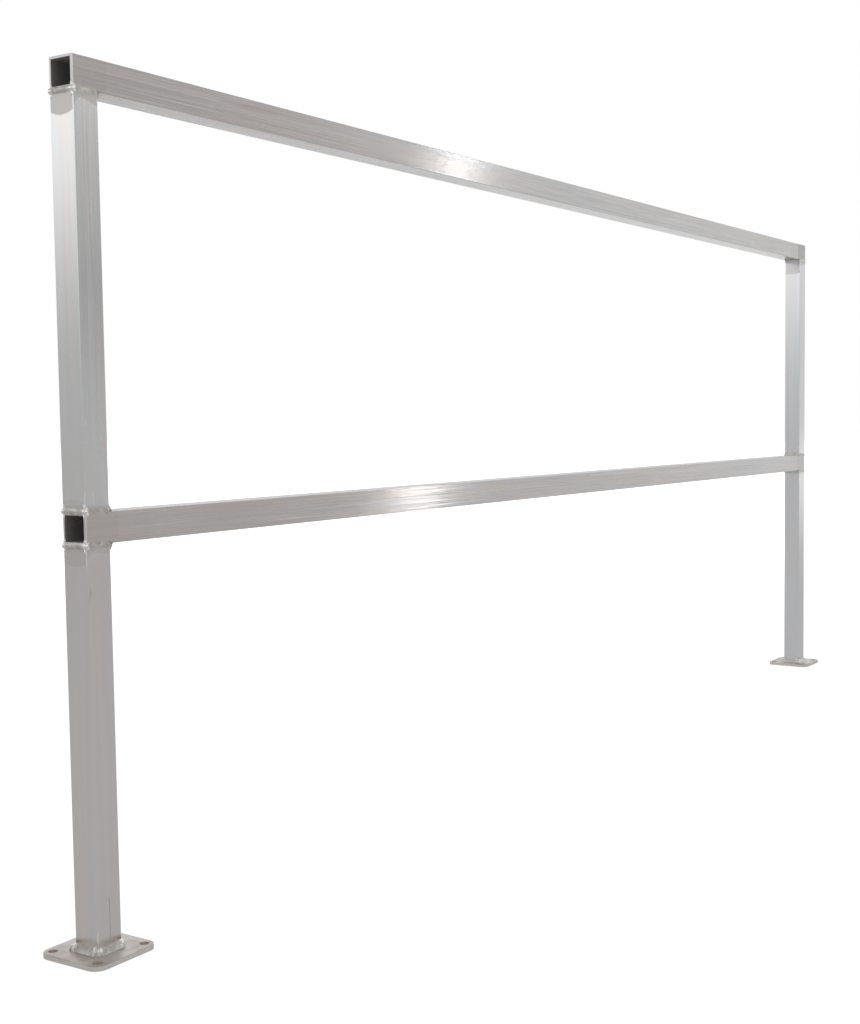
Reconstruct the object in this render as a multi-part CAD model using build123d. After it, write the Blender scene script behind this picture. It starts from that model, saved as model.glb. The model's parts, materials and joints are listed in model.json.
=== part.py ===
from build123d import *
import os

# A fixed crowd control barrier, welded from square aluminium tube.
# Two rails run the whole length: one over the tops of the posts, one through them,
# so each post is an upper and a lower length. Every post stands on a drilled plate.
#
# Frame: origin under the middle of the barrier, on the face that meets the ground.
# +X runs along the rails, +Y across the barrier, +Z up. Millimetres.

# Overall sizes
rail_length = 2438.4
barrier_height = 1066.8
mid_rail_centre_height = 517.525

# Square tube, the same for the rails and the posts
tube_width = 38.1
tube_wall = 3.175
tube_corner_radius = 0.8
bore_corner_radius = 0.4
rail_end_chamfer = 0.4

# Base plates
plate_width = 101.6
plate_thickness = 6.35
plate_corner_radius = 15.875
plate_edge_chamfer = 0.7
anchor_hole_diameter = 11.1
anchor_hole_edge_distance = 12.7

# Weld beads
flush_bead_height = 9.0
flush_bead_outer_crown = 2.2
flush_bead_side_crown = 1.0
flush_bead_crest_height = 3.0
bead_toe = 0.3
inner_fillet_rail_leg = 6.0
inner_fillet_post_leg = 8.0
foot_weld_leg = 7.5
fillet_fullness = 0.6
bead_corner_cut = 0.6

# Worked out from the sizes above
half_length = rail_length / 2
half_tube = tube_width / 2
bore_width = tube_width - 2 * tube_wall
post_centre_x = half_length - half_tube
top_joint_z = barrier_height - tube_width
top_rail_centre_z = barrier_height - half_tube
mid_rail_top_z = mid_rail_centre_height + half_tube
mid_rail_bottom_z = mid_rail_centre_height - half_tube
anchor_hole_spacing = plate_width - 2 * anchor_hole_edge_distance

sides = {"left": -1, "right": 1}


def tube_outline():
    return RectangleRounded(tube_width, tube_width, tube_corner_radius)


def bore_outline():
    return RectangleRounded(bore_width, bore_width, bore_corner_radius)


def rail(centre_z):
    """One full-length tube along X, open at both ends, its outer end edges broken."""
    stock = extrude(tube_outline(), rail_length)
    end_faces = stock.faces().sort_by(Axis.Z)
    end_edges = end_faces[0].edges() + end_faces[-1].edges()
    stock = chamfer(end_edges, rail_end_chamfer)
    hollow = stock - extrude(bore_outline(), rail_length)
    return Pos(-half_length, 0, centre_z) * Rot(0, 90, 0) * hollow


def post(side, bottom_z, top_z):
    """One upright tube, cut square at both ends."""
    hollow = extrude(tube_outline() - bore_outline(), top_z - bottom_z)
    return Pos(side * post_centre_x, 0, bottom_z) * hollow


def base_plate(side):
    """A plate with rounded corners, a broken top edge and four anchor holes."""
    slab = extrude(RectangleRounded(plate_width, plate_width, plate_corner_radius), plate_thickness)
    top_edges = slab.faces().sort_by(Axis.Z)[-1].edges()
    slab = chamfer(top_edges, plate_edge_chamfer)
    drill = extrude(Circle(anchor_hole_diameter / 2), plate_thickness)
    for place in GridLocations(anchor_hole_spacing, anchor_hole_spacing, 2, 2):
        slab = slab - place * drill
    return Pos(side * post_centre_x, 0, 0) * slab


def bead_section(outer_reach, side_reach, inner_reach, z):
    """A level slice through a bead about a post centred on the origin, outer face at -X."""
    low_x = -half_tube - outer_reach
    high_x = half_tube + inner_reach
    half_y = half_tube + side_reach
    outer_cut = bead_corner_cut * outer_reach
    side_cut = bead_corner_cut * side_reach
    inner_cut = bead_corner_cut * inner_reach
    corners = [
        (low_x, -half_y + side_cut),
        (low_x + outer_cut, -half_y),
        (high_x - inner_cut, -half_y),
        (high_x, -half_y + side_cut),
        (high_x, half_y - side_cut),
        (high_x - inner_cut, half_y),
        (low_x + outer_cut, half_y),
        (low_x, half_y - side_cut),
    ]
    return Pos(0, 0, z) * Polygon(*corners, align=None)


def on_post(side, z, shape):
    """Puts a shape made for a post with its outer face at -X onto the left or right post."""
    if side > 0:
        shape = Rot(0, 0, 180) * shape
    return Pos(side * post_centre_x, 0, z) * shape


def outer_weld(side, joint_z, towards_post):
    """A flush bead on the front, outer and back faces, where a post meets a rail.

    It reaches over the rail by the tube's wall only, so it stays off the open bore.
    """
    half_height = flush_bead_height / 2
    half_crest = flush_bead_crest_height / 2
    low = bead_section(bead_toe, bead_toe, bead_toe, -half_height)
    low_crest = bead_section(flush_bead_outer_crown, flush_bead_side_crown, bead_toe, -half_crest)
    high_crest = bead_section(flush_bead_outer_crown, flush_bead_side_crown, bead_toe, half_crest)
    high = bead_section(bead_toe, bead_toe, bead_toe, half_height)
    band = loft([low, low_crest, high_crest, high], ruled=True)
    kept_clear = Box(2 * tube_width, tube_width, 2 * flush_bead_height)
    band = band - Pos(tube_width - half_tube, 0, 0) * kept_clear
    beyond_post = Box(tube_width, 2 * tube_width, 2 * flush_bead_height)
    band = band - Pos(half_tube + tube_width / 2, 0, 0) * beyond_post
    centre_z = joint_z + towards_post * (half_height - tube_wall)
    return on_post(side, centre_z, band)


def inner_weld(side, joint_z, towards_post):
    """A convex fillet in the corner between a post's inner face and a rail."""
    mid_x = half_tube + fillet_fullness * inner_fillet_rail_leg
    mid_z = towards_post * fillet_fullness * inner_fillet_post_leg
    corners = [
        (half_tube, 0),
        (half_tube + inner_fillet_rail_leg, 0),
        (mid_x, mid_z),
        (half_tube, towards_post * inner_fillet_post_leg),
    ]
    profile = Plane.XZ * Polygon(*corners, align=None)
    bead = extrude(profile, half_tube, both=True)
    return on_post(side, joint_z, bead)


def foot_weld(side):
    """A fillet bead all round the foot of a post, on its base plate."""
    mid_reach = fillet_fullness * foot_weld_leg
    low = bead_section(foot_weld_leg, foot_weld_leg, foot_weld_leg, 0)
    middle = bead_section(mid_reach, mid_reach, mid_reach, mid_reach)
    high = bead_section(bead_toe, bead_toe, bead_toe, foot_weld_leg)
    ring = loft([low, middle, high], ruled=True) - extrude(tube_outline(), foot_weld_leg)
    return on_post(side, plate_thickness, ring)


def barrier_nodes():
    nodes = {
        "top_rail": rail(top_rail_centre_z),
        "mid_rail": rail(mid_rail_centre_height),
    }
    joints = {
        "top": (top_joint_z, -1),
        "mid_upper": (mid_rail_top_z, 1),
        "mid_lower": (mid_rail_bottom_z, -1),
    }
    for name, side in sides.items():
        nodes[name + "_upper_post"] = post(side, mid_rail_top_z, top_joint_z)
        nodes[name + "_lower_post"] = post(side, plate_thickness, mid_rail_bottom_z)
        nodes[name + "_base_plate"] = base_plate(side)
        nodes[name + "_foot_weld"] = foot_weld(side)
        for joint, (joint_z, towards_post) in joints.items():
            nodes[name + "_" + joint + "_outer_weld"] = outer_weld(side, joint_z, towards_post)
            nodes[name + "_" + joint + "_inner_weld"] = inner_weld(side, joint_z, towards_post)
    return nodes


os.makedirs("parts", exist_ok=True)
for node_name, shape in barrier_nodes().items():
    shape.label = node_name
    export_step(shape, "parts/" + node_name + ".step")
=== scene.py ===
import json
import math
import random

import bmesh
import bpy
from bpy.props import FloatProperty, FloatVectorProperty, IntProperty, PointerProperty
from mathutils import Matrix, Vector


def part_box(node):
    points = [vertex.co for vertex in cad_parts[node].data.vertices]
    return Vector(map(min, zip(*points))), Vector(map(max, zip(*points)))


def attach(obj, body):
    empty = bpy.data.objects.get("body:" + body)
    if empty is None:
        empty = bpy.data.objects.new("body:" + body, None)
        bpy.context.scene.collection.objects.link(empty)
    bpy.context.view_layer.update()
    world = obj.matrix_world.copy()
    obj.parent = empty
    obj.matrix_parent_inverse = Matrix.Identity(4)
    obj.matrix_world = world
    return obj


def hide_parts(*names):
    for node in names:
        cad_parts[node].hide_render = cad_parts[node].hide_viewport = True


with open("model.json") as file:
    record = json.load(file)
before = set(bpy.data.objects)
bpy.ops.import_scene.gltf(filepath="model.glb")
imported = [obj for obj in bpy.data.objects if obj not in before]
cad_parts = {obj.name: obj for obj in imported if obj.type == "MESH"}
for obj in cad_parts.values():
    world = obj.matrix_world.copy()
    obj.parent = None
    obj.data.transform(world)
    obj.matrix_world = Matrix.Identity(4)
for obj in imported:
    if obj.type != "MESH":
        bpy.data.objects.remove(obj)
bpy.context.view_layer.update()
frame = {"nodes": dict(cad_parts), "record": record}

bl_info = {
    "name": "Welded Tube Barrier",
    "version": (1, 0, 0),
    "blender": (4, 5, 0),
    "location": "View3D > Sidebar > Barrier",
    "description": "Finishes a welded square-tube crowd control barrier and sets up its studio",
    "category": "Add Mesh",
}

MM = 0.001

# Places that the pieces share, read from the frame; only the tube's wall is given here
RAIL_LOW, RAIL_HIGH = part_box("top_rail")
MID_LOW, MID_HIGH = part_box("mid_rail")
TUBE = RAIL_HIGH.z - RAIL_LOW.z
HALF_TUBE = TUBE / 2
WALL = 3.175 * MM
BORE_HALF = HALF_TUBE - WALL
HALF_LENGTH = RAIL_HIGH.x
POST_X = HALF_LENGTH - HALF_TUBE
TOP_JOINT = RAIL_LOW.z
MID_TOP = MID_HIGH.z
RAIL_MIDDLE = (RAIL_LOW.z + RAIL_HIGH.z) / 2
MID_MIDDLE = (MID_LOW.z + MID_HIGH.z) / 2
MID_BOTTOM = MID_LOW.z
PLATE_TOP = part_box("left_base_plate")[1].z
SIDES = {"left": -1, "right": 1}
# The anchor holes' places on a plate, from the mount that they are
HOLES = next(mount for mount in frame["record"]["mounts"] if mount["name"] == "left_anchor_holes")
HOLE_REACH = HOLES["dims"]["spacing_x_mm"] * MM / 2
HOLE_RADIUS = HOLES["dims"]["hole_r_mm"] * MM
# Each joint's height, and the way from it to the post's length (up or down)
JOINTS = {"top": (TOP_JOINT, -1), "mid_upper": (MID_TOP, 1), "mid_lower": (MID_BOTTOM, -1)}

# How far a finished bead reaches into the metal that it joins
BITE = 0.15 * MM
# A bead's ripples are centred this far under an outer face, and under a ground one
OUTER_DEPTH = 0.0025
GROUND_DEPTH = 0.0020
# The first and last ripple of an outer bead, and its corner lumps, lie this far in
RUN_INSET = 0.0030
LUMP_INSET = 0.0016
# The same for the ripples of a fillet, and for the lumps at a foot's corners
FILLET_INSET = 0.0010
FOOT_LUMP_INSET = 0.0012
# How far up and down the block that cuts a bead clear of its post reaches
CLEARANCE = 0.02
# How a fused bead is softened, and the angle past which its shading breaks
SOFTENING = {"factor": 0.5, "iterations": 4}
SHARP_ANGLE = math.radians(50)
# Where a change from the left end to the right end begins and ends
CHANGEOVER = (-0.5, 0.5)


# ---------------------------------------------------------------- settings


class BarrierFinish(bpy.types.PropertyGroup):
    """The bare metal."""

    # Painted shade and light: the two rails are one metal, given a darker colour on the top rail
    # and a lighter one on the middle rail
    rail_color: FloatVectorProperty(
        name="Top rail metal", description="Colour of the bare top rail",
        subtype="COLOR", size=3, min=0, max=1, default=(0.69, 0.682, 0.676))
    mid_rail_color: FloatVectorProperty(
        name="Middle rail metal", description="Colour of the bare middle rail",
        subtype="COLOR", size=3, min=0, max=1, default=(0.80, 0.785, 0.775))
    # On the left post's lower length this tint is painted shade
    warm_tint: FloatVectorProperty(
        name="Warm tint",
        description="What handling takes from the colour of the metal at the left end",
        subtype="COLOR", size=3, min=0, max=1, default=(0.965, 0.93, 0.92))
    post_color: FloatVectorProperty(
        name="Left post metal", description="Colour of the bare left post",
        subtype="COLOR", size=3, min=0, max=1, default=(0.865, 0.86, 0.855))
    right_post_color: FloatVectorProperty(
        name="Right post metal", description="Colour of the bare right post",
        subtype="COLOR", size=3, min=0, max=1, default=(0.93, 0.935, 0.945))
    heat_tint: FloatVectorProperty(
        name="Heat tint", description="What the heat of welding takes from the metal's colour",
        subtype="COLOR", size=3, min=0, max=1, default=(0.76, 0.735, 0.71))
    plate_color: FloatVectorProperty(
        name="Plate metal", description="Colour of the base plates",
        subtype="COLOR", size=3, min=0, max=1, default=(0.61, 0.575, 0.55))
    # Painted highlight on the base plates' sides
    rim_color: FloatVectorProperty(
        name="Plate rim", description="Colour of the base plates' sawn edges",
        subtype="COLOR", size=3, min=0, max=1, default=(0.86, 0.84, 0.80))
    bored_color: FloatVectorProperty(
        name="Hole walls", description="Colour of the anchor holes' walls",
        subtype="COLOR", size=3, min=0, max=1, default=(0.70, 0.63, 0.55))
    bead_color: FloatVectorProperty(
        name="Weld metal", description="Colour of the weld beads",
        subtype="COLOR", size=3, min=0, max=1, default=(0.67, 0.655, 0.63))
    # Partly a painted highlight: the lumps and the right post's brushed beads take this brighter
    # colour
    lump_color: FloatVectorProperty(
        name="Weld lumps", description="Colour of the lumps where the beads turn a corner",
        subtype="COLOR", size=3, min=0, max=1, default=(0.88, 0.865, 0.84))
    # Besides soot and stains, this colour paints the shade in the rails' inner corners and at the
    # inner fillets' toes
    stain_color: FloatVectorProperty(
        name="Stain", description="Colour of the brown soot beside the beads",
        subtype="COLOR", size=3, min=0, max=1, default=(0.22, 0.17, 0.125))
    roughness: FloatProperty(
        name="Mill roughness", description="Roughness of the bare tube",
        min=0, max=1, default=0.13)
    rail_spread: FloatProperty(
        name="Hairline spread of rails",
        description="How far the finest lines along a rail tip its surface",
        min=0, max=3, default=1.6)
    post_spread: FloatProperty(
        name="Hairline spread of posts",
        description="How far the finest lines along a post tip its surface",
        min=0, max=3, default=0.80)
    streak_spread: FloatProperty(
        name="Streak spread",
        description="How far the broader streaks along the tube tip its surface",
        min=0, max=2, default=0.035)
    heat_reach: FloatProperty(
        name="Cleaned reach", description="How far the cleaned, dull metal reaches along a rail",
        min=0, unit="LENGTH", default=0.053)


class BarrierWelds(bpy.types.PropertyGroup):
    """The weld beads."""

    ripple_pitch: FloatProperty(
        name="Ripple pitch", description="Distance between the ripples of a bead",
        min=0.0005, unit="LENGTH", default=0.0024)
    ripple_reach: FloatProperty(
        name="Ripple reach",
        description="How far a ripple runs under its neighbours; more is smoother",
        min=0.0005, unit="LENGTH", default=0.0040)
    bead_height: FloatProperty(
        name="Bead height", description="Height of the bead across a joint",
        min=0.001, unit="LENGTH", default=0.0090)
    outer_crown: FloatProperty(
        name="Outer crown", description="How far a bead stands off a post's outer face",
        min=0, unit="LENGTH", default=0.0013)
    ground_crown: FloatProperty(
        name="Ground crown",
        description="What grinding leaves of a bead on the front and back faces",
        min=0, unit="LENGTH", default=0.0002)
    corner_lump: FloatProperty(
        name="Corner lump", description="Half-width of the lump where a bead turns a corner",
        min=0, unit="LENGTH", default=0.0034)
    inner_rail_leg: FloatProperty(
        name="Inner fillet on the rail", description="Leg of an inner fillet along the rail",
        min=0.001, unit="LENGTH", default=0.0045)
    inner_post_leg: FloatProperty(
        name="Inner fillet on the post", description="Leg of an inner fillet along the post",
        min=0.001, unit="LENGTH", default=0.0080)
    foot_leg: FloatProperty(
        name="Foot leg", description="Leg of the fillet round a post's foot",
        min=0.001, unit="LENGTH", default=0.0075)
    fillet_crown: FloatProperty(
        name="Fillet crown", description="How far a fillet bulges past flat",
        min=0, unit="LENGTH", default=0.0005)
    mesh_size: FloatProperty(
        name="Mesh size", description="Edge length of the finished bead's mesh",
        min=0.0002, unit="LENGTH", default=0.00045)
    seed: IntProperty(
        name="Seed", description="Changes the unevenness of the beads", default=7)


class BarrierStudio(bpy.types.PropertyGroup):
    """The floor, lights and camera."""

    floor_color: FloatVectorProperty(
        name="Floor", description="Colour of the floor",
        subtype="COLOR", size=3, min=0, max=1, default=(0.56, 0.56, 0.56))
    floor_glow: FloatProperty(
        name="Floor glow", description="Light that the floor gives off by itself",
        min=0, default=0.11)
    far_floor_glow: FloatProperty(
        name="Far floor glow",
        description="How much more light the floor gives off towards the backdrop",
        min=0, default=0.34)
    floor_lift: FloatProperty(
        name="Floor lift", description="Extra brightness that the floor shows the camera",
        min=0, default=0.62)
    floor_size: FloatProperty(
        name="Floor size", description="Side of the square floor",
        min=1, unit="LENGTH", default=60.0)
    camera_place: FloatVectorProperty(
        name="Camera place", description="Where the camera stands",
        subtype="XYZ", unit="LENGTH", size=3, default=(-2.4377, -1.3294, 0.6448))
    camera_heading: FloatProperty(
        name="Heading", description="The camera's heading, turned from +X towards +Y",
        subtype="ANGLE", default=math.radians(32.473))
    camera_pitch: FloatProperty(
        name="Pitch", description="The camera's tilt above the horizon",
        subtype="ANGLE", default=math.radians(-4.006))
    camera_roll: FloatProperty(
        name="Roll", description="The camera's lean", subtype="ANGLE",
        default=math.radians(-0.662))
    camera_lens: FloatProperty(
        name="Lens", description="Focal length on a 36 mm sensor", min=1, default=52.0)
    camera_shift: FloatVectorProperty(
        name="Lens shift",
        description="How far the lens is shifted, as a share of the picture's long side",
        size=2, default=(-0.0391, 0.0078))
    wall_level: FloatProperty(
        name="Wall level", description="Brightness of the studio's walls at eye level",
        min=0, default=0.475)
    overhead_level: FloatProperty(
        name="Upper level", description="How much brighter the upper walls are",
        min=0, default=0.32)
    backdrop_level: FloatProperty(
        name="Backdrop level", description="How much brighter the backdrop is than the walls",
        min=0, default=0.36)
    backdrop_heading: FloatProperty(
        name="Backdrop heading", description="Where the middle of the backdrop is",
        subtype="ANGLE", default=math.radians(35.0))
    side_level: FloatProperty(
        name="Side level", description="How much brighter the walls past the left end are",
        min=0, default=0.32)
    high_side_heading: FloatProperty(
        name="High side heading", description="Where the side wall that is bright high up stands",
        subtype="ANGLE", default=math.radians(140))
    low_side_heading: FloatProperty(
        name="Low side heading", description="Where the side wall that is bright low down stands",
        subtype="ANGLE", default=math.radians(168))
    front_level: FloatProperty(
        name="Front level", description="How much brighter the wall straight in front is",
        min=0, default=0.85)
    front_heading: FloatProperty(
        name="Front heading", description="Where the bright wall in front stands",
        subtype="ANGLE", default=math.radians(-82))
    flag_heading: FloatProperty(
        name="Flag heading", description="Where the dark flag in front hangs",
        subtype="ANGLE", default=math.radians(-53))
    flag_depth: FloatProperty(
        name="Flag depth", description="How much the dark flag in front takes from the wall",
        min=0, max=1, default=0.40)
    strip_power: FloatProperty(
        name="Strip light", description="Power of the strip light in watts",
        min=0, default=1.35)
    strip_place: FloatVectorProperty(
        name="Strip place", description="Where the middle of the strip light is",
        subtype="XYZ", unit="LENGTH", size=3, default=(2.045, -1.70, 0.97))
    strip_target: FloatVectorProperty(
        name="Strip target", description="The place that the strip light faces",
        subtype="XYZ", unit="LENGTH", size=3, default=(-0.466, -0.02, 0.78))
    strip_width: FloatProperty(
        name="Strip width", description="Width of the strip light",
        min=0, unit="LENGTH", default=0.035)
    strip_height: FloatProperty(
        name="Strip height", description="Height of the strip light",
        min=0, unit="LENGTH", default=1.7)
    strip_lean: FloatProperty(
        name="Strip lean", description="How far the strip light leans from upright",
        subtype="ANGLE", default=math.radians(-9.2))
    key_power: FloatProperty(
        name="Overhead light", description="Power of the overhead soft light in watts",
        min=0, default=5.0)


# ---------------------------------------------------------------- shader maths


class Sum:
    """A socket or a number that can be used in Python arithmetic."""

    def __init__(self, shader, socket):
        self.shader = shader
        self.socket = socket

    def _with(self, operation, *others, clamp=False):
        settings = {"operation": operation, "use_clamp": clamp}
        return self.shader.node("Math", settings, *[self.socket, *others])

    def __add__(self, other):
        return self._with("ADD", other)

    def __sub__(self, other):
        return self._with("SUBTRACT", other)

    def __mul__(self, other):
        return self._with("MULTIPLY", other)

    def __truediv__(self, other):
        return self._with("DIVIDE", other)

    def __rsub__(self, other):
        return self.shader.node("Math", {"operation": "SUBTRACT"}, other, self.socket)

    __radd__ = __add__
    __rmul__ = __mul__

    def abs(self):
        return self._with("ABSOLUTE")

    def power(self, exponent):
        return self._with("POWER", exponent)

    def least(self, other):
        return self._with("MINIMUM", other)

    def most(self, other):
        return self._with("MAXIMUM", other)

    def within(self):
        """Held between 0 and 1."""
        return self._with("ADD", 0.0, clamp=True)

    def ramp(self, low, high):
        """0 below low and 1 above high, with a soft rise between; low may be the larger."""
        settings = {"interpolation_type": "SMOOTHSTEP"}
        if low > high:
            return 1 - self.ramp(high, low)
        return self.shader.node("MapRange", settings, self.socket, low, high, 0.0, 1.0)


class Shader:
    """One material's or world's node tree, built up by expressions."""

    def __init__(self, owner):
        owner.use_nodes = True
        self.tree = owner.node_tree
        self.tree.nodes.clear()

    def node(self, kind, settings=None, *values, out=0, **named):
        """Adds a node: its settings first, then its sockets by order or by name."""
        added = self.tree.nodes.new("ShaderNode" + kind)
        for name, value in (settings or {}).items():
            setattr(added, name, value)
        sockets = dict(enumerate(values))
        sockets.update((name.replace("_", " "), value) for name, value in named.items())
        for key, value in sockets.items():
            self.feed(added.inputs[key], value)
        return Sum(self, added.outputs[out]) if added.outputs else None

    def feed(self, socket, value):
        if isinstance(value, Sum):
            value = value.socket
        if isinstance(value, bpy.types.NodeSocket):
            self.tree.links.new(value, socket)
        elif value is not None:
            socket.default_value = value

    def place(self):
        """The surface's place in the frame, as its three coordinates."""
        coords = self.node("TexCoord", out="Object")
        split = self.node("SeparateXYZ", None, coords)
        outputs = split.socket.node.outputs
        return [Sum(self, outputs[axis]) for axis in "XYZ"]

    def vector(self, x, y, z):
        return self.node("CombineXYZ", None, x, y, z)

    def noise(self, vector, scale, detail=2.0, roughness=0.5):
        """Uneven values about 0.5."""
        settings = {"noise_dimensions": "3D"}
        return self.node("TexNoise", settings, Vector=vector, Scale=scale,
                         Detail=detail, Roughness=roughness)

    def blend(self, mask, low, high, blend_type="MIX"):
        """A colour that goes from low to high as the mask rises."""
        settings = {"data_type": "RGBA", "blend_type": blend_type}
        added = self.node("Mix", settings, mask).socket.node
        self.feed(added.inputs[6], color(low))
        self.feed(added.inputs[7], color(high))
        return Sum(self, added.outputs[2])

    def bump(self, height, distance, normal=None):
        return self.node("Bump", None, Height=height, Distance=distance,
                         Strength=1.0, Normal=normal)

    def drawn_normal(self, axis, tilt):
        """The normal tipped across the drawing direction, as fine lines along axis tip it."""
        normal = self.node("NewGeometry", out="Normal")
        across = self.node("VectorMath", {"operation": "CROSS_PRODUCT"}, axis, normal)
        tipped = self.node("VectorMath", {"operation": "MULTIPLY_ADD"}, across, tilt, normal)
        return self.node("VectorMath", {"operation": "NORMALIZE"}, tipped)

    def metal(self, base, roughness, normal=None):
        """Bare metal, joined to the material's output."""
        surface = self.node("BsdfPrincipled", None, Base_Color=base, Metallic=1.0,
                            Roughness=roughness, Normal=normal)
        self.node("OutputMaterial", None, surface)


def color(value):
    """A colour for a socket: numbers get their alpha, links pass through."""
    if isinstance(value, Sum) or len(value) == 4:
        return value
    return (*value, 1.0)


def new_shader(name):
    material = bpy.data.materials.new(name)
    return material, Shader(material)


# ---------------------------------------------------------------- materials


# Each noise pattern on a drawn tube: how fast it changes along the tube next to across
# it, and the noise's scale, detail and roughness
GRAIN = {
    "hair": (0.0006, 5200, 2.0, 0.6),
    "line": (0.0012, 620, 3.0, 0.65),
    "band": (0.02, 120, 3.0, 0.6),
    "hue": (0.03, 60, 3.0, 0.6),
    "cloud": (1.0, 14, 4.0, 0.6),
    "mottle": (1.0, 260, 3.0, 0.6),
    "scuff": (0.22, 34, 3.0, 0.62),
}
WHITE = (1.0, 1.0, 1.0)
COOL, WARM = (0.975, 0.985, 1.0), (1.0, 0.98, 0.965)
DARK_BAND = (0.97, 0.97, 0.97)
# What the patterns and the welding add to a tube's roughness
BAND_ROUGHNESS = 0.05
MOTTLE_ROUGHNESS = 0.06
DULLED_ROUGHNESS = 0.25
INSIDE_ROUGHNESS = 0.40
UPPER_FACE_ROUGHNESS = 0.30
# The share of its brightness that unworked metal keeps, and that the rails' upper faces keep as
# painted shade
DIMMED = 0.88
SCUFF_STRENGTH = 0.30
# How strongly a rail's ends are dulled, the top rail's right end more
END_DULLING = 0.35
TOP_RIGHT_DULLING = 0.40
SECOND_DULLING = 0.1
# How much less the right post's joints are dulled
RIGHT_RELIEF = 0.4
# Each joint of a post: its height, how far the metal beside it is dulled, as a share of
# the top joint's reach, and how strongly
DULLED_JOINTS = (
    (TOP_JOINT, 1.0, 1.0),
    (MID_TOP, 0.5, 0.4),
    (MID_BOTTOM, 0.85, 0.4),
    (PLATE_TOP, 0.25, 0.4),
)
# The top joint's dulled reach: on a post's front and back, on its outer face, and what
# the inner face has more; and how far in the V on the front and back has its point
FRONT_REACH = 0.0098
OUTER_REACH = 0.030
INNER_EXTRA = 0.018
V_PLACE = 0.010
# The left post's thin brown run: its place across, its height and its half-length
RUN_PLACE = 0.001 - POST_X
RUN_HEIGHT = 0.045
RUN_HALF = 0.030


def grain(s, x, y, z, along):
    """Noise patterns on a drawn tube: along the tube they run on, across it they change fast."""
    patterns = {}
    for name, (share, scale, detail, roughness) in GRAIN.items():
        spot = s.vector(x * share, y, z) if along == "X" else s.vector(x, y, z * share)
        patterns[name] = s.noise(spot, scale, detail, roughness)
    return patterns


def post_dulling(x, y, z, mottle):
    """1 on the metal that welding and cleaning dulled beside a post's joints, else 0."""
    from_outside = HALF_LENGTH - x.abs()
    across = (y / HALF_TUBE) * (y / HALF_TUBE)
    on_outside = from_outside.ramp(0.0007, 0.0005)
    on_inside = from_outside.ramp(TUBE - 0.0007, TUBE - 0.0005)
    # On the front and back the dulled metal stops at a shallow V
    front_reach = FRONT_REACH + (V_PLACE - from_outside).most((from_outside - V_PLACE) * 0.25)
    outer_reach = OUTER_REACH - across * 0.005
    on_faces = on_outside * (outer_reach - front_reach) + on_inside * INNER_EXTRA
    top_reach = front_reach + on_faces
    dulling = None
    for height, share, strength in DULLED_JOINTS:
        edge = top_reach * share - (z - height).abs() + (mottle - 0.5) * 0.004
        spot = edge.ramp(-0.0010, 0.0010) * strength
        dulling = spot if dulling is None else dulling.most(spot)
    return dulling


def joint_distance(z):
    """Distance up or down from the nearest welded joint of a post."""
    nearest = (z - TOP_JOINT).abs()
    for height in (MID_TOP, MID_BOTTOM, PLATE_TOP):
        nearest = nearest.least((z - height).abs())
    return nearest


def drawn_metal(s, along, base_color, patterns, dulling, soot_and_shade, edge_highlight, roughness_extra=0.0):
    """Mill-finish tube: fine lines along it, dull where it was welded, with a painted highlight
    on its edges.
    """
    finish = bpy.context.scene.barrier_finish
    hue = s.blend(patterns["hue"].ramp(0.38, 0.62), COOL, WARM)
    shade = s.blend(patterns["band"].ramp(0.3, 0.7), DARK_BAND, WHITE)
    bare = s.blend(1.0, s.blend(1.0, base_color, shade, "MULTIPLY"), hue, "MULTIPLY")
    heated = s.blend(1.0, bare, finish.heat_tint, "MULTIPLY")
    base = s.blend(dulling, bare, heated)
    # Scuffs, soot, stains and the painted shade in the rails' inner corners pull the colour
    # towards one brown
    marks = soot_and_shade.most(patterns["scuff"].ramp(0.70, 0.78) * SCUFF_STRENGTH)
    base = s.blend(marks, base, finish.stain_color)
    # Painted highlight: the edges are painted white
    base = s.blend(edge_highlight, base, WHITE)
    roughness = finish.roughness + (patterns["band"] - 0.5) * BAND_ROUGHNESS
    roughness = roughness + (patterns["mottle"] - 0.5) * MOTTLE_ROUGHNESS
    roughness = roughness + dulling * DULLED_ROUGHNESS + roughness_extra
    hair, line = patterns["hair"] - 0.5, patterns["line"] - 0.5
    spread = finish.rail_spread if along == "X" else finish.post_spread
    tilt = hair * spread + line * finish.streak_spread
    tilt = tilt * (1.0 - dulling * 0.4)
    tipped = s.drawn_normal((1, 0, 0) if along == "X" else (0, 0, 1), tilt)
    s.metal(base, roughness.within(), s.bump(patterns["mottle"], 0.00002, normal=tipped))


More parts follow.
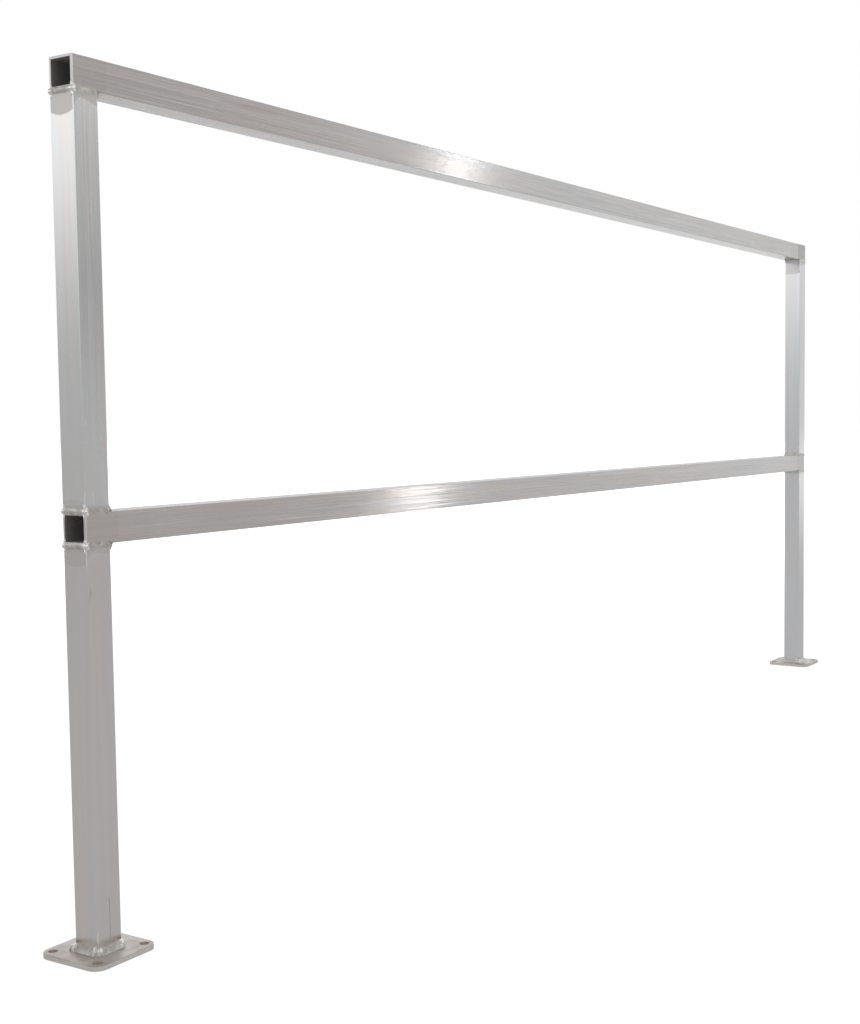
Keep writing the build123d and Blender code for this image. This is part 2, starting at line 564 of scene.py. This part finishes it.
def rail_metal(name):
    """The rails' metal, dull where their ends were cleaned, darker on top as painted shade and
    dim inside.
    """
    finish = bpy.context.scene.barrier_finish
    material, s = new_shader(name)
    x, y, z = s.place()
    patterns = grain(s, x, y, z, "X")
    from_end = HALF_LENGTH - x.abs()
    uneven = (patterns["mottle"] - 0.5) * 0.003
    reach = finish.heat_reach
    dulling = (from_end + uneven).ramp(reach + 0.0012, reach - 0.0012)
    # A second, fainter edge lies further in
    second = (from_end + uneven).ramp(reach * 2 + 0.002, reach * 2 - 0.002)
    # The top rail's right end was cleaned harder than the other ends
    at_right = x.ramp(*CHANGEOVER)
    strength = END_DULLING + at_right * z.ramp(MID_TOP, TOP_JOINT) * TOP_RIGHT_DULLING
    dulling = (dulling * strength).most(second * SECOND_DULLING)
    # Painted shade, in the stain colour, in the corners of the inner fillets
    level = (z - TOP_JOINT).abs().least((z - MID_TOP).abs()).least((z - MID_BOTTOM).abs())
    past_post = (from_end - TUBE - 0.003).abs()
    corner = (past_post.most(level) + uneven).ramp(0.006, 0.001)
    soot_and_shade = corner * patterns["cloud"].ramp(0.40, 0.60) * 0.35
    # A dark seam just above the flush bead under the middle rail
    seam = (z - MID_BOTTOM - 0.0016 + uneven * 0.3).abs().ramp(0.0011, 0.0004)
    soot_and_shade = soot_and_shade.most(seam * (from_end - TUBE).ramp(0.006, 0.002) * 0.4) * (1 - at_right * 0.5)
    # Painted highlight along the front face's edge at each end
    front = y.ramp(0.0006 - HALF_TUBE, 0.0002 - HALF_TUBE)
    edge_highlight = from_end.ramp(0.0020, 0.0012) * front * 0.8
    # The rails' unworked insides
    off_centre = (z - RAIL_MIDDLE).abs().least((z - MID_MIDDLE).abs()).most(y.abs())
    inside = off_centre.ramp(BORE_HALF + 0.0004, BORE_HALF + 0.0002)
    # The top rail takes the darker colour and the middle rail the lighter one, as painted shade
    # and painted light
    bare = s.blend(z.ramp(TOP_JOINT, MID_TOP), finish.rail_color, finish.mid_rail_color)
    warmed = s.blend(1.0, bare, finish.warm_tint, "MULTIPLY")
    bare = s.blend(x.ramp(0.2, -1.0), bare, warmed)
    # Painted shade: the upper faces are darkened, and they are rougher too
    shaded_top = (z - RAIL_HIGH.z).abs().least((z - MID_TOP).abs()).ramp(0.0006, 0.0003)
    bare = s.blend(shaded_top, bare, [share * DIMMED for share in finish.mid_rail_color])
    base_color = s.blend(inside, bare, [share * DIMMED for share in finish.rail_color])
    extra = inside * INSIDE_ROUGHNESS + shaded_top * UPPER_FACE_ROUGHNESS
    drawn_metal(s, "X", base_color, patterns, dulling, soot_and_shade, edge_highlight, extra)
    return material


def post_metal(name):
    """The posts' metal, dulled and stained beside their joints, with a painted highlight on the
    corners.
    """
    finish = bpy.context.scene.barrier_finish
    material, s = new_shader(name)
    x, y, z = s.place()
    patterns = grain(s, x, y, z, "Z")
    at_right = x.ramp(*CHANGEOVER)
    dulling = post_dulling(x, y, z, patterns["mottle"]) * (1 - at_right * RIGHT_RELIEF)
    uneven = (patterns["mottle"] - 0.5) * 0.012
    soot_and_shade = (joint_distance(z) + uneven).ramp(0.011, 0.004) * patterns["cloud"].ramp(0.42, 0.60)
    soot_and_shade = soot_and_shade * (z - 0.10).ramp(0.06, 0.30) * 0.22
    # A brown spot on each corner above the foot weld, and one thin run of it
    at_corner = (HALF_TUBE - (x.abs() - POST_X).abs()).most(HALF_TUBE - y.abs())
    above_foot = (z - PLATE_TOP - 0.0105).abs()
    spot = (at_corner.most(above_foot * 0.6) + uneven * 0.1).ramp(0.0022, 0.0010)
    wander = (patterns["cloud"] - 0.5) * 0.012
    behind_front = y.ramp(0.00025 - HALF_TUBE, 0.00105 - HALF_TUBE)
    to_run = (x - RUN_PLACE + wander).abs() + behind_front * 0.1
    run = to_run.ramp(0.0006, 0.0003) * (z - RUN_HEIGHT).abs().ramp(RUN_HALF, RUN_HALF * 0.8)
    soot_and_shade = soot_and_shade.most(spot * 0.7).most(run * 0.5)
    # Painted highlight on the corners near the joints
    past_bead = joint_distance(z) + uneven * 0.3
    edge_highlight = at_corner.ramp(0.0015, 0.0009) * past_bead.ramp(0.030, 0.022) * 0.8
    # Painted shade: the left post's lower length is darker and warmer
    warmed = s.blend(1.0, finish.post_color, finish.warm_tint, "MULTIPLY")
    left_color = s.blend(z.ramp(MID_TOP, MID_BOTTOM), finish.post_color, warmed)
    base_color = s.blend(at_right, left_color, finish.right_post_color)
    drawn_metal(s, "Z", base_color, patterns, dulling, soot_and_shade, edge_highlight)
    return material


def plate_metal(name):
    """Dull plate, brown in patches and round its holes, with a painted highlight on its rim."""
    finish = bpy.context.scene.barrier_finish
    material, s = new_shader(name)
    x, y, z = s.place()
    spot = s.vector(x, y, z)
    clouds = s.noise(spot, 45, 4.0, 0.6)
    patches = s.noise(spot, 22, 2.0, 0.5)
    mottle = s.noise(spot, 320, 3.0, 0.6)
    rolling = s.noise(s.vector(x * 0.05, y, z), 900, 2.0, 0.6)
    across, deep = (x.abs() - POST_X).abs(), y.abs()
    from_post = across.most(deep) - HALF_TUBE
    halo = (from_post + (clouds - 0.5) * 0.02).ramp(0.020, 0.006)
    to_hole_x, to_hole_y = across - HOLE_REACH, deep - HOLE_REACH
    to_hole = (to_hole_x * to_hole_x + to_hole_y * to_hole_y).power(0.5) - HOLE_RADIUS
    ring = (to_hole + (mottle - 0.5) * 0.002).ramp(0.0022, 0.0004)
    rust = clouds.ramp(0.54, 0.72).most(ring * 0.9)
    heated = s.blend(1.0, finish.plate_color, finish.heat_tint, "MULTIPLY")
    tinted = s.blend(patches.ramp(0.42, 0.60), finish.plate_color, heated)
    scoured = s.blend(1.0, tinted, (1.18, 1.20, 1.22), "MULTIPLY")
    base = s.blend(halo * 0.7, tinted, scoured)
    base = s.blend(rust * 0.35, base, finish.stain_color)
    # The rim carries a painted highlight, and the light of the ground shows in the holes' walls
    rim = z.ramp(PLATE_TOP - 0.0005, PLATE_TOP - 0.0009)
    base = s.blend(rim * 0.8, base, finish.rim_color)
    bored = to_hole.ramp(0.0003, 0.0001) * z.ramp(PLATE_TOP, PLATE_TOP - 0.0003)
    base = s.blend(bored, base, finish.bored_color)
    roughness = 0.42 + (mottle - 0.5) * 0.2 - patches.ramp(0.5, 0.7) * 0.10 + rim * 0.15
    height = rolling * 0.4 + mottle * 0.6
    s.metal(base, roughness.within(), s.bump(height, 0.0001))
    return material


def bead_metal(name, toe_shade=0.0, corners="outer"):
    """Dull weld metal, smoother and painted brighter where it runs into a lump at a corner of the
    post, partly as a painted highlight.
    """
    finish = bpy.context.scene.barrier_finish
    material, s = new_shader(name)
    x, y, z = s.place()
    spot = s.vector(x, y, z)
    clouds = s.noise(spot, 110, 4.0, 0.6)
    scale = s.noise(spot, 800, 3.0, 0.6)
    across = x.abs() - POST_X
    to_side = ((across.abs() if corners == "all" else across) - HALF_TUBE).abs()
    to_corner = to_side.most((y.abs() - HALF_TUBE).abs())
    lump_spot = (to_corner + (clouds - 0.5) * 0.006).ramp(0.0060, 0.0030)
    heated = s.blend(1.0, finish.bead_color, finish.heat_tint, "MULTIPLY")
    dull = s.blend(clouds.ramp(0.35, 0.65), finish.bead_color, heated)
    dull = s.blend(scale.ramp(0.60, 0.74) * 0.35, dull, finish.stain_color)
    # The lumps carry a painted highlight, and the right post's beads were brushed brighter
    brushed_and_highlit = lump_spot.most(x.ramp(*CHANGEOVER) * clouds.ramp(0.35, 0.55) * 0.7)
    base = s.blend(brushed_and_highlit, dull, finish.lump_color)
    # Painted shade at the toe of an inner fillet, in the stain colour
    toe = (joint_distance(z) + (clouds - 0.5) * 0.003).ramp(0.0022, 0.0008) * toe_shade
    base = s.blend(toe, base, finish.stain_color)
    roughness = 0.42 + (clouds - 0.5) * 0.3 - lump_spot * 0.22
    s.metal(base, roughness.within(), s.bump(scale, 0.00008))
    return material


def finished(nodes, material):
    """Gives CAD nodes a new material."""
    for node in nodes:
        piece = frame["nodes"][node]
        piece.data.materials.clear()
        piece.data.materials.append(material)


# ---------------------------------------------------------------- modelling


def alone(piece):
    """Only this piece selected and active."""
    bpy.ops.object.select_all(action="DESELECT")
    piece.select_set(True)
    bpy.context.view_layer.objects.active = piece


def ripple_pattern():
    """One weld ripple: a ball of radius 1, pulled to a soft crescent."""
    bpy.ops.object.select_all(action="DESELECT")
    bpy.ops.mesh.primitive_uv_sphere_add(segments=14, ring_count=9, radius=1)
    pattern = bpy.context.object
    bpy.ops.object.mode_set(mode="EDIT")
    bpy.ops.mesh.select_all(action="DESELECT")
    shape = bmesh.from_edit_mesh(pattern.data)
    for corner in shape.verts:
        corner.select = abs(corner.co.y) > 0.5
    shape.select_flush_mode()
    bmesh.update_edit_mesh(pattern.data)
    bpy.ops.transform.translate(value=(-0.35, 0, 0), use_proportional_edit=False)
    bpy.ops.object.mode_set(mode="OBJECT")
    return pattern


def laid(pattern, spots, name):
    """Copies of the pattern at the given matrices, joined to one piece."""
    copies = []
    for spot in spots:
        copy = bpy.data.objects.new(name, pattern.data.copy())
        copy.data.transform(spot)
        bpy.context.collection.objects.link(copy)
        copies.append(copy)
    bpy.ops.object.select_all(action="DESELECT")
    for copy in copies:
        copy.select_set(True)
    bpy.context.view_layer.objects.active = copies[0]
    bpy.ops.object.join()
    piece = bpy.context.object
    piece.name = name
    piece.data.name = name
    return piece


def applied(piece, kind, **settings):
    """Adds a modifier with these settings and applies it."""
    alone(piece)
    added = piece.modifiers.new(kind.title(), kind)
    for key, value in settings.items():
        setattr(added, key, value)
    bpy.ops.object.modifier_apply(modifier=added.name)


def cut_clear(piece, side, bottom, top):
    """Cuts a bead clear of its post between two heights, all but its bite."""
    skin = HALF_TUBE - BITE
    low = Vector((side * POST_X - skin, -skin, bottom))
    high = Vector((side * POST_X + skin, skin, top))
    bpy.ops.object.select_all(action="DESELECT")
    bpy.ops.mesh.primitive_cube_add(size=1, location=(low + high) / 2, scale=high - low)
    block = bpy.context.object
    applied(piece, "BOOLEAN", operation="DIFFERENCE", solver="EXACT", object=block)
    bpy.data.objects.remove(block)


def trimmed(piece, place, outwards):
    """Cuts a piece off flat at a plane and closes it; what lies outwards goes."""
    alone(piece)
    bpy.ops.object.mode_set(mode="EDIT")
    bpy.ops.mesh.select_all(action="SELECT")
    bpy.ops.mesh.bisect(plane_co=place, plane_no=outwards, use_fill=True, clear_outer=True)
    bpy.ops.object.mode_set(mode="OBJECT")


def fused(piece):
    """Melts overlapping ripples into one skin and softens it."""
    welds = bpy.context.scene.barrier_welds
    applied(piece, "REMESH", mode="VOXEL", voxel_size=welds.mesh_size)
    applied(piece, "SMOOTH", **SOFTENING)


def bead_run(rng, start, end, outwards, half_height, sunk, crown):
    """Ripples along a flat face from start to end, uneven as a hand-laid bead is.

    Each ripple is centred at a depth of sunk below the face and stands out by crown.
    """
    welds = bpy.context.scene.barrier_welds
    along = (end - start).normalized()
    across = outwards.cross(along)
    rise = sunk + crown
    half_width = half_height / math.sqrt(1 - (sunk / rise) ** 2)
    count = max(2, round((end - start).length / welds.ripple_pitch))
    spots = []
    for step in range(count + 1):
        centre = start.lerp(end, step / count) - outwards * sunk
        centre = centre + across * rng.uniform(-0.07, 0.07) * half_height
        length = welds.ripple_reach * rng.uniform(0.85, 1.1)
        width = half_width * rng.uniform(0.92, 1.06)
        height = sunk + crown * rng.uniform(0.65, 1.2)
        turned = Matrix((along * length, across * width, outwards * height)).transposed()
        spots.append(Matrix.Translation(centre) @ turned.to_4x4())
    return spots


def lump(centre, size):
    """The matrix of a round lump, as where a bead turns a corner."""
    return Matrix.Translation(centre) @ Matrix.Diagonal((*size, 1.0))


def outer_bead(pattern, name, side, joint_z, towards_post, rng):
    """The bead over a post's front, outer and back faces, ground down front and back."""
    welds = bpy.context.scene.barrier_welds
    half = welds.bead_height / 2
    z = joint_z + towards_post * (half - WALL)
    outer_x = side * HALF_LENGTH
    inner_x = side * (HALF_LENGTH - TUBE)
    start = Vector((outer_x, RUN_INSET - HALF_TUBE, z))
    end = Vector((outer_x, HALF_TUBE - RUN_INSET, z))
    spots = bead_run(rng, start, end, Vector((side, 0, 0)), half, OUTER_DEPTH, welds.outer_crown)
    for y in (-1, 1):
        start = Vector((outer_x - side * RUN_INSET, y * HALF_TUBE, z))
        end = Vector((inner_x + side * RUN_INSET, y * HALF_TUBE, z))
        spots += bead_run(rng, start, end, Vector((0, y, 0)), half, GROUND_DEPTH,
                          welds.ground_crown)
        centre = Vector((outer_x - side * LUMP_INSET, y * (HALF_TUBE - LUMP_INSET), z))
        width = welds.corner_lump * rng.uniform(0.92, 1.08)
        spots.append(lump(centre, (width, width, half * rng.uniform(0.9, 1.02))))
    piece = laid(pattern, spots, name)
    fused(piece)
    cut_clear(piece, side, z - CLEARANCE, z + CLEARANCE)
    trimmed(piece, (inner_x, 0, z), (-side, 0, 0))
    return piece


def inner_fillet(pattern, name, side, joint_z, towards_post, rng):
    """The fillet in the corner between a post's inner face and a rail."""
    welds = bpy.context.scene.barrier_welds
    rail_leg, post_leg = welds.inner_rail_leg, welds.inner_post_leg
    slope = math.hypot(rail_leg, post_leg)
    lean = Vector((-side * post_leg, 0, towards_post * rail_leg)) / slope
    inner_x = side * (HALF_LENGTH - TUBE)
    middle = Vector((inner_x - side * rail_leg / 2, 0, joint_z + towards_post * post_leg / 2))
    reach = Vector((0, HALF_TUBE - FILLET_INSET, 0))
    spots = bead_run(rng, middle - reach, middle + reach, lean, slope / 2,
                     rail_leg * post_leg / slope, welds.fillet_crown)
    piece = laid(pattern, spots, name)
    fused(piece)
    trimmed(piece, (inner_x + side * BITE, 0, joint_z), (side, 0, 0))
    trimmed(piece, (inner_x, 0, joint_z - towards_post * BITE), (0, 0, -towards_post))
    for y in (-1, 1):
        trimmed(piece, (inner_x, y * (HALF_TUBE + welds.ground_crown), joint_z), (0, y, 0))
    return piece


def foot_fillet(pattern, name, side, rng):
    """The fillet all round a post's foot, lumpy where it turns the corners."""
    welds = bpy.context.scene.barrier_welds
    leg = welds.foot_leg
    out = HALF_TUBE + leg / 2
    foot = Vector((side * POST_X, 0, PLATE_TOP))
    spots = []
    for turn in range(4):
        spin = Matrix.Rotation(turn * math.pi / 2, 3, "Z")
        face = spin @ Vector((out, 0, leg / 2))
        reach = spin @ Vector((0, HALF_TUBE - FILLET_INSET, 0))
        lean = (spin @ Vector((1, 0, 1))).normalized()
        spots += bead_run(rng, foot + face - reach, foot + face + reach, lean,
                          leg * math.sqrt(0.5), leg * math.sqrt(0.5), welds.fillet_crown)
        to_lump = HALF_TUBE - FOOT_LUMP_INSET
        corner = spin @ Vector((to_lump, to_lump, 0))
        width = leg * rng.uniform(0.98, 1.14)
        spots.append(lump(foot + corner, (width, width, leg * rng.uniform(1.0, 1.15))))
    piece = laid(pattern, spots, name)
    fused(piece)
    trimmed(piece, foot - Vector((0, 0, BITE)), (0, 0, -1))
    cut_clear(piece, side, PLATE_TOP - CLEARANCE / 2, PLATE_TOP + CLEARANCE * 1.5)
    return piece


def hand_over(piece, node, material):
    """A finished bead takes the place of its CAD node."""
    alone(piece)
    bpy.ops.object.shade_smooth_by_angle(angle=SHARP_ANGLE)
    piece.data.materials.clear()
    piece.data.materials.append(material)
    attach(piece, "root")
    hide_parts(node)


# ---------------------------------------------------------------- operators


class BARRIER_OT_rails(bpy.types.Operator):
    """Finish the two rails"""

    bl_idname = "barrier.rails"
    bl_label = "Rails"

    def execute(self, context):
        finished(["top_rail", "mid_rail"], rail_metal("Rail aluminium"))
        return {"FINISHED"}


class BARRIER_OT_posts(bpy.types.Operator):
    """Finish the four post lengths"""

    bl_idname = "barrier.posts"
    bl_label = "Posts"

    def execute(self, context):
        nodes = [side + part for side in SIDES for part in ("_upper_post", "_lower_post")]
        finished(nodes, post_metal("Post aluminium"))
        return {"FINISHED"}


class BARRIER_OT_plates(bpy.types.Operator):
    """Finish the two base plates"""

    bl_idname = "barrier.plates"
    bl_label = "Base plates"

    def execute(self, context):
        nodes = [side + "_base_plate" for side in SIDES]
        finished(nodes, plate_metal("Plate aluminium"))
        return {"FINISHED"}


def lay_at_joints(lay_bead, node_end, seed_step, toe_shade=0.0):
    """Lays one kind of bead at all six joints of posts and rails."""
    rng = random.Random(bpy.context.scene.barrier_welds.seed + seed_step)
    metal = bead_metal("Weld aluminium " + node_end, toe_shade)
    pattern = ripple_pattern()
    for side_name, side in SIDES.items():
        for joint, (joint_z, towards_post) in JOINTS.items():
            node = f"{side_name}_{joint}_{node_end}"
            bead = lay_bead(pattern, node + "_bead", side, joint_z, towards_post, rng)
            hand_over(bead, node, metal)
    bpy.data.objects.remove(pattern)


class BARRIER_OT_outer_welds(bpy.types.Operator):
    """Lay the beads over the posts' front, outer and back faces"""

    bl_idname = "barrier.outer_welds"
    bl_label = "Outer weld beads"

    def execute(self, context):
        lay_at_joints(outer_bead, "outer_weld", 0)
        return {"FINISHED"}


class BARRIER_OT_inner_welds(bpy.types.Operator):
    """Lay the fillets in the corners between posts and rails"""

    bl_idname = "barrier.inner_welds"
    bl_label = "Inner weld fillets"

    def execute(self, context):
        lay_at_joints(inner_fillet, "inner_weld", 1, toe_shade=0.45)
        return {"FINISHED"}


class BARRIER_OT_foot_welds(bpy.types.Operator):
    """Lay the fillets round the posts' feet"""

    bl_idname = "barrier.foot_welds"
    bl_label = "Foot weld fillets"

    def execute(self, context):
        rng = random.Random(context.scene.barrier_welds.seed + 2)
        metal = bead_metal("Weld aluminium foot_weld", corners="all")
        pattern = ripple_pattern()
        for side_name, side in SIDES.items():
            node = side_name + "_foot_weld"
            hand_over(foot_fillet(pattern, node + "_bead", side, rng), node, metal)
        bpy.data.objects.remove(pattern)
        return {"FINISHED"}


class BARRIER_OT_stage(bpy.types.Operator):
    """Set up the floor, the lights and the camera"""

    bl_idname = "barrier.stage"
    bl_label = "Studio"

    def execute(self, context):
        studio = context.scene.barrier_studio
        make_floor(studio)
        make_sky(studio)
        make_lights(studio)
        make_camera(studio)
        context.scene.view_settings.view_transform = "Standard"
        return {"FINISHED"}


SOFTBOX_PLACE = (-0.4, -0.4, 2.9)
SOFTBOX_SIZE = (3.2, 1.6)
SENSOR_WIDTH = 36.0


def make_floor(studio):
    """A pale floor that gives off a little light, so that it meets the white walls unseen."""
    bpy.ops.object.select_all(action="DESELECT")
    bpy.ops.mesh.primitive_plane_add(size=studio.floor_size)
    floor = bpy.context.object
    floor.name = "studio_floor"
    material, s = new_shader("Studio floor")
    paint = s.node("BsdfDiffuse", None, color(studio.floor_color))
    # The floor is brighter towards the backdrop
    x, y, _ = s.place()
    near_backdrop = ((x + y) * 0.6).ramp(1.0, 4.0) * (x - y * 0.6).ramp(-3.0, -1.0)
    glow = studio.floor_glow + near_backdrop * studio.far_floor_glow
    seen = s.node("LightPath", out="Is Camera Ray")
    lift = s.node("Emission", None, Color=(1, 1, 1, 1), Strength=glow + seen * studio.floor_lift)
    s.node("OutputMaterial", None, s.node("AddShader", None, paint, lift))
    floor.data.materials.append(material)


def make_sky(studio):
    """Studio walls, dim at eye level and brighter overhead and behind the barrier.

    The camera itself sees plain white.
    """
    world = bpy.data.worlds.new("Studio walls")
    bpy.context.scene.world = world
    s = Shader(world)
    direction = s.node("TexCoord", out="Generated")
    split = s.node("SeparateXYZ", None, direction).socket.node.outputs
    x, y, z = [Sum(s, split[axis]) for axis in "XYZ"]
    rise = z.ramp(0.02, 0.26) - z.ramp(0.27, 0.60) * 0.95

    def towards(heading, low, high):
        """1 near this heading and 0 away from it."""
        ahead = x * math.cos(heading) + y * math.sin(heading)
        return ahead.ramp(low, high)

    high, low, above_horizon = z.ramp(0.05, 0.20), z.ramp(0.0, 0.10), z.ramp(0.0, 0.12)
    backdrop = towards(studio.backdrop_heading, 0.30, 0.95)
    high_side = towards(studio.high_side_heading, 0.80, 0.97) * high
    low_side = towards(studio.low_side_heading, 0.90, 0.99) * low
    front = towards(studio.front_heading, 0.80, 0.97) * high
    flag = towards(studio.flag_heading, 0.93, 0.985) * above_horizon
    level = studio.wall_level + rise * studio.overhead_level
    level = level + backdrop * studio.backdrop_level
    level = level + (high_side + low_side) * studio.side_level
    level = level + front * studio.front_level
    level = level * (1.0 - flag * studio.flag_depth)
    seen = s.node("LightPath", out="Is Camera Ray")
    strength = level + seen * (1.0 - level)
    walls = s.node("Background", None, (1, 1, 1, 1), strength)
    s.node("OutputWorld", None, walls)


def make_light(name, place, target, width, height, power):
    """A rectangular lamp that faces its target and isn't seen itself."""
    lamp = bpy.data.lights.new(name, "AREA")
    lamp.shape = "RECTANGLE"
    lamp.size = width
    lamp.size_y = height
    lamp.energy = power
    light = bpy.data.objects.new(name, lamp)
    bpy.context.scene.collection.objects.link(light)
    light.location = place
    aim = Vector(target) - Vector(place)
    light.rotation_euler = aim.to_track_quat("-Z", "Y").to_euler()
    light.visible_camera = False
    return light


def make_lights(studio):
    """An overhead softbox, and a thin strip that leans to light one spot on each rail."""
    make_light("overhead_softbox", SOFTBOX_PLACE, (0, 0, 0), *SOFTBOX_SIZE, studio.key_power)
    strip = make_light("strip_light", studio.strip_place, studio.strip_target,
                       studio.strip_width, studio.strip_height, studio.strip_power)
    lean = Matrix.Rotation(studio.strip_lean, 4, "Z")
    strip.rotation_euler = (strip.rotation_euler.to_matrix().to_4x4() @ lean).to_euler()


def make_camera(studio):
    """The camera, turned by its heading and pitch and then leant by its roll."""
    heading, pitch, roll = studio.camera_heading, studio.camera_pitch, studio.camera_roll
    forward = Vector((math.cos(heading), math.sin(heading), 0))
    ahead = forward * math.cos(pitch) + Vector((0, 0, math.sin(pitch)))
    level = ahead.cross(Vector((0, 0, 1))).normalized()
    upright = level.cross(ahead)
    right = level * math.cos(roll) + upright * math.sin(roll)
    up = upright * math.cos(roll) - level * math.sin(roll)
    turned = Matrix((right, up, -ahead)).transposed()
    lens = bpy.data.cameras.new("camera")
    lens.lens = studio.camera_lens
    lens.sensor_width = SENSOR_WIDTH
    lens.shift_x, lens.shift_y = studio.camera_shift
    camera = bpy.data.objects.new("camera", lens)
    bpy.context.scene.collection.objects.link(camera)
    camera.matrix_world = Matrix.Translation(studio.camera_place) @ turned.to_4x4()
    bpy.context.scene.camera = camera


STEPS = ("rails", "posts", "plates", "outer_welds", "inner_welds", "foot_welds", "stage")


class BARRIER_PT_panel(bpy.types.Panel):
    """The barrier's steps and settings"""

    bl_label = "Barrier"
    bl_space_type = "VIEW_3D"
    bl_region_type = "UI"
    bl_category = "Barrier"

    def draw(self, context):
        for step in STEPS:
            self.layout.operator("barrier." + step)
        scene = context.scene
        for group in (scene.barrier_finish, scene.barrier_welds, scene.barrier_studio):
            box = self.layout.box()
            for setting in group.__annotations__:
                box.prop(group, setting)


CLASSES = (
    BarrierFinish, BarrierWelds, BarrierStudio,
    BARRIER_OT_rails, BARRIER_OT_posts, BARRIER_OT_plates, BARRIER_OT_outer_welds,
    BARRIER_OT_inner_welds, BARRIER_OT_foot_welds, BARRIER_OT_stage,
    BARRIER_PT_panel,
)


def register():
    for cls in CLASSES:
        bpy.utils.register_class(cls)
    bpy.types.Scene.barrier_finish = PointerProperty(type=BarrierFinish)
    bpy.types.Scene.barrier_welds = PointerProperty(type=BarrierWelds)
    bpy.types.Scene.barrier_studio = PointerProperty(type=BarrierStudio)


def unregister():
    del bpy.types.Scene.barrier_studio
    del bpy.types.Scene.barrier_welds
    del bpy.types.Scene.barrier_finish
    for cls in reversed(CLASSES):
        bpy.utils.unregister_class(cls)


def main():
    register()
    for step in STEPS:
        getattr(bpy.ops.barrier, step)()


if __name__ == "__main__":
    main()
